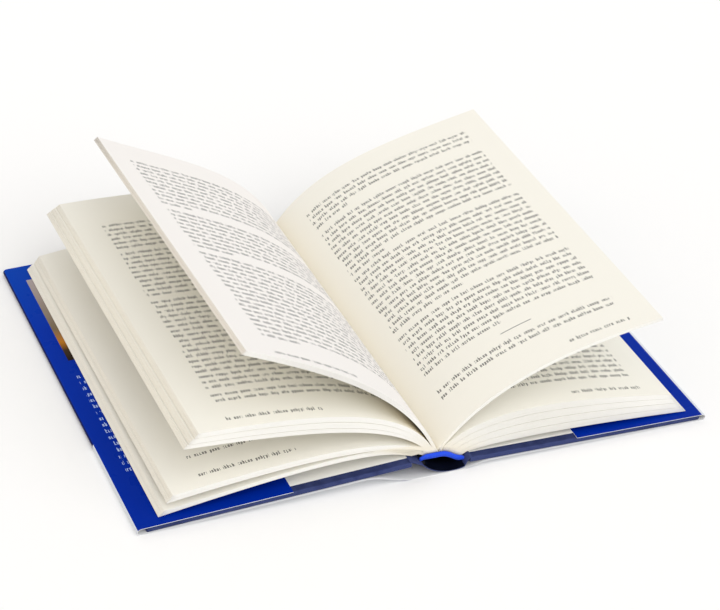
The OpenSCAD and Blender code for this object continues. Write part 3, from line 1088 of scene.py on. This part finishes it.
bandSpec = {
    # half height, half depth and middle above the back of the leaves
    "tongue": (0.95, 1.7, -0.95),
    "tongueOut": 1.5,               # its far side, past the ends of the leaves
    "bead": (1.75, 0.85, -0.75),
    "beadOut": 0.7,                 # its middle, past the ends of the leaves
    "beadEnds": [(-10.6, 9.9), (16.9, 4.9)],
    "beadSkip": 2,                  # points of the back left out after the first end
    "taper": 0.35,
    "taperPower": 6,
    "steps": 64,
    "around": 16,
    "mergeWithin": 1e-6,            # metres
}

silkSpec = {
    "bright": (0.012, 0.095, 0.95),
    "dark": (0.006, 0.045, 0.58),
    "thread": 0.75,
    "slant": 0.35,
    "strands": 5,
    "strandShare": 0.2,
    "woundShare": 0.7,
    "fleck": 500.0,
    "fleckRange": (0.0, 0.3),
    "bump": (0.6, 0.12),
    "finish": {"Roughness": 0.5, "Specular IOR Level": 0.2, "Sheen Weight": 0.1},
}


def makeThread(name):
    spec = silkSpec
    material, tree, shader = startMaterial(name, spec["finish"])
    along, around = uvParts(tree)
    slant = calc(tree, "MULTIPLY_ADD", around, spec["slant"], along)
    wound = ripple(tree, slant, spec["thread"])
    strands = ripple(tree, slant, spec["thread"] / spec["strands"])
    height = calc(tree, "MULTIPLY_ADD", strands, spec["strandShare"], wound)
    flecks = spread(tree, noise(tree, objectCoords(tree), spec["fleck"]), *spec["fleckRange"])
    share = calc(tree, "MULTIPLY_ADD", wound, spec["woundShare"], flecks)
    tree.links.new(mixColour(tree, share, spec["dark"], spec["bright"]), shader.inputs["Base Color"])
    addBump(tree, shader, height, *spec["bump"])
    return material


silkThread = makeThread("silkThread")


def addBand(bm, points, middle, halfHigh, halfDeep, rise):
    spec = bandSpec
    path, total = evenPath(points, spec["steps"])
    verts = makeGrid(bm, spec["steps"], spec["around"])
    spots = {}
    for vert in verts:
        i = round((vert.co.x + 1) / 2 * spec["steps"])
        turn = (vert.co.y + 1) * math.pi
        taper = 1.0 - spec["taper"] * abs(vert.co.x) ** spec["taperPower"]
        x, z = path[i]
        y = middle + halfDeep * math.cos(turn)
        vert.co = Vector((x, y, z + rise + halfHigh * taper * math.sin(turn))) * mm
        spots[vert] = (total * i / spec["steps"] * mm, turn * mm)
    smoothGrid(bm, verts, spots)


def buildHeadband(which, end):
    spec = bandSpec
    back, half = backPath(), leafSpec["height"] / 2
    bm = bmesh.new()
    addBand(bm, back, end * (half + spec["tongueOut"] - spec["tongue"][1]), *spec["tongue"])
    first, last = spec["beadEnds"]
    addBand(bm, [first, *back[spec["beadSkip"]:], last], end * (half + spec["beadOut"]), *spec["bead"])
    bmesh.ops.remove_doubles(bm, verts=bm.verts, dist=spec["mergeWithin"])
    bmesh.ops.holes_fill(bm, edges=[e for e in bm.edges if e.is_boundary], sides=0)
    bmesh.ops.recalc_face_normals(bm, faces=bm.faces)
    piece = makePiece(which + "Band", bm, [silkThread])
    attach(piece, "text_block")
    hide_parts(which + "_headband")


buildHeadband("tail", -1)
buildHeadband("head", 1)
print("headbands done")

# Finishes of the pieces that keep their CAD form

boardSpec = {
    "grey": (0.36, 0.34, 0.31),
    # near-black card: painted shade inside the hollow of the spine
    "hollowShadeCard": (0.02, 0.02, 0.026),
    "layer": 380.0,
    "layerDetail": 4.0,
    "layerStretch": (1.0, 1.0, 6.0),
    "dark": 0.75,
    "bump": (0.4, 0.1),
    "finish": {"Roughness": 0.9},
}


def makeBoard(name, colour):
    spec = boardSpec
    material, tree, shader = startMaterial(name, spec["finish"])
    coords = stretch(tree, objectCoords(tree), spec["layerStretch"])
    layers = noise(tree, coords, spec["layer"], spec["layerDetail"])
    tint = mixColour(tree, layers, darker(colour, spec["dark"]), colour)
    tree.links.new(tint, shader.inputs["Base Color"])
    addBump(tree, shader, layers, *spec["bump"])
    return material


mullSpec = {
    "tint": (0.72, 0.68, 0.58),
    "thread": 1.4,
    "dark": 0.7,
    "bump": (0.5, 0.15),
    "finish": {"Roughness": 0.88},
}


def makeMull(name):
    # open gauze over paper
    spec = mullSpec
    material, tree, shader = startMaterial(name, spec["finish"])
    x, y, _ = splitUp(tree, objectCoords(tree))
    threads = either(tree, ripple(tree, x, spec["thread"]), ripple(tree, y, spec["thread"]))
    tint = mixColour(tree, threads, darker(spec["tint"], spec["dark"]), spec["tint"])
    tree.links.new(tint, shader.inputs["Base Color"])
    addBump(tree, shader, threads, *spec["bump"])
    return material


def dress(material, *nodes):
    for node in nodes:
        materials = frame["nodes"][node].data.materials
        materials.clear()
        materials.append(material)


dress(makeBoard("greyBoard", boardSpec["grey"]), "front_board", "back_board")
# the spine strip takes the near-black card as painted shade
dress(makeBoard("hollowShadeCard", boardSpec["hollowShadeCard"]), "spine_strip")
dress(makeMull("gauzeLining"), "spine_lining")
dress(endPaper, "front_pastedown", "back_pastedown")
print("finishes done")

# Floor and light

floorSpec = {
    "tint": (0.88, 0.88, 0.88),
    "dark": (0.85, 0.85, 0.85),
    "cloud": 3.0,
    "cloudShares": (0.99, 1.0),
    "glow": 0.09,        # seen by the camera and in reflections only
    "size": 16.0,        # metres
    "finish": {"Roughness": 0.9, "Specular IOR Level": 0.0, "Emission Color": (*white, 1.0)},
}

lightSpec = {
    "world": 0.64,
    "backdrop": 1.0,     # the world as the camera and reflections see it
    "lamps": {
        "softKey": {"from": (0.4, -0.95, 1.1), "energy": 1.42, "spread": 75.0, "tint": white},
        "leftFill": {"from": (-1.0, -0.4, 0.6), "energy": 0.55, "spread": 70.0, "tint": (1.0, 0.86, 0.68)},
    },
}


def seenOnly(tree):
    # 1 for rays from the camera, in reflections and through clear things
    path = tree.nodes.new("ShaderNodeLightPath")
    seen = either(tree, path.outputs["Is Camera Ray"], path.outputs["Is Glossy Ray"])
    return either(tree, seen, path.outputs["Is Transmission Ray"])


def buildFloor(spec):
    material, tree, shader = startMaterial("paleFloor", spec["finish"])
    cloud = spread(tree, noise(tree, objectCoords(tree), spec["cloud"]), *spec["cloudShares"])
    tree.links.new(mixColour(tree, cloud, spec["dark"], spec["tint"]), shader.inputs["Base Color"])
    tree.links.new(calc(tree, "MULTIPLY", seenOnly(tree), spec["glow"]), shader.inputs["Emission Strength"])
    bm = bmesh.new()
    bmesh.ops.create_grid(bm, x_segments=1, y_segments=1, size=spec["size"] / 2)
    floor = makePiece("studioFloor", bm, [material])


def lightStudio(spec):
    world = bpy.data.worlds.new("studio")
    world.use_nodes = True
    tree = world.node_tree
    backdrop = tree.nodes["Background"]
    backdrop.inputs["Color"].default_value = (*white, 1.0)
    extra = spec["backdrop"] - spec["world"]
    level = calc(tree, "MULTIPLY_ADD", seenOnly(tree), extra, spec["world"])
    tree.links.new(level, backdrop.inputs["Strength"])
    bpy.context.scene.world = world
    for name, lamp in spec["lamps"].items():
        data = bpy.data.lights.new(name, "SUN")
        data.energy = lamp["energy"]
        data.color = lamp["tint"]
        data.angle = math.radians(lamp["spread"])
        light = bpy.data.objects.new(name, data)
        light.rotation_euler = Vector(lamp["from"]).to_track_quat("Z", "Y").to_euler()
        bpy.context.scene.collection.objects.link(light)


buildFloor(floorSpec)
lightStudio(lightSpec)
bpy.context.scene.view_settings.view_transform = "Standard"
print("studio ready")
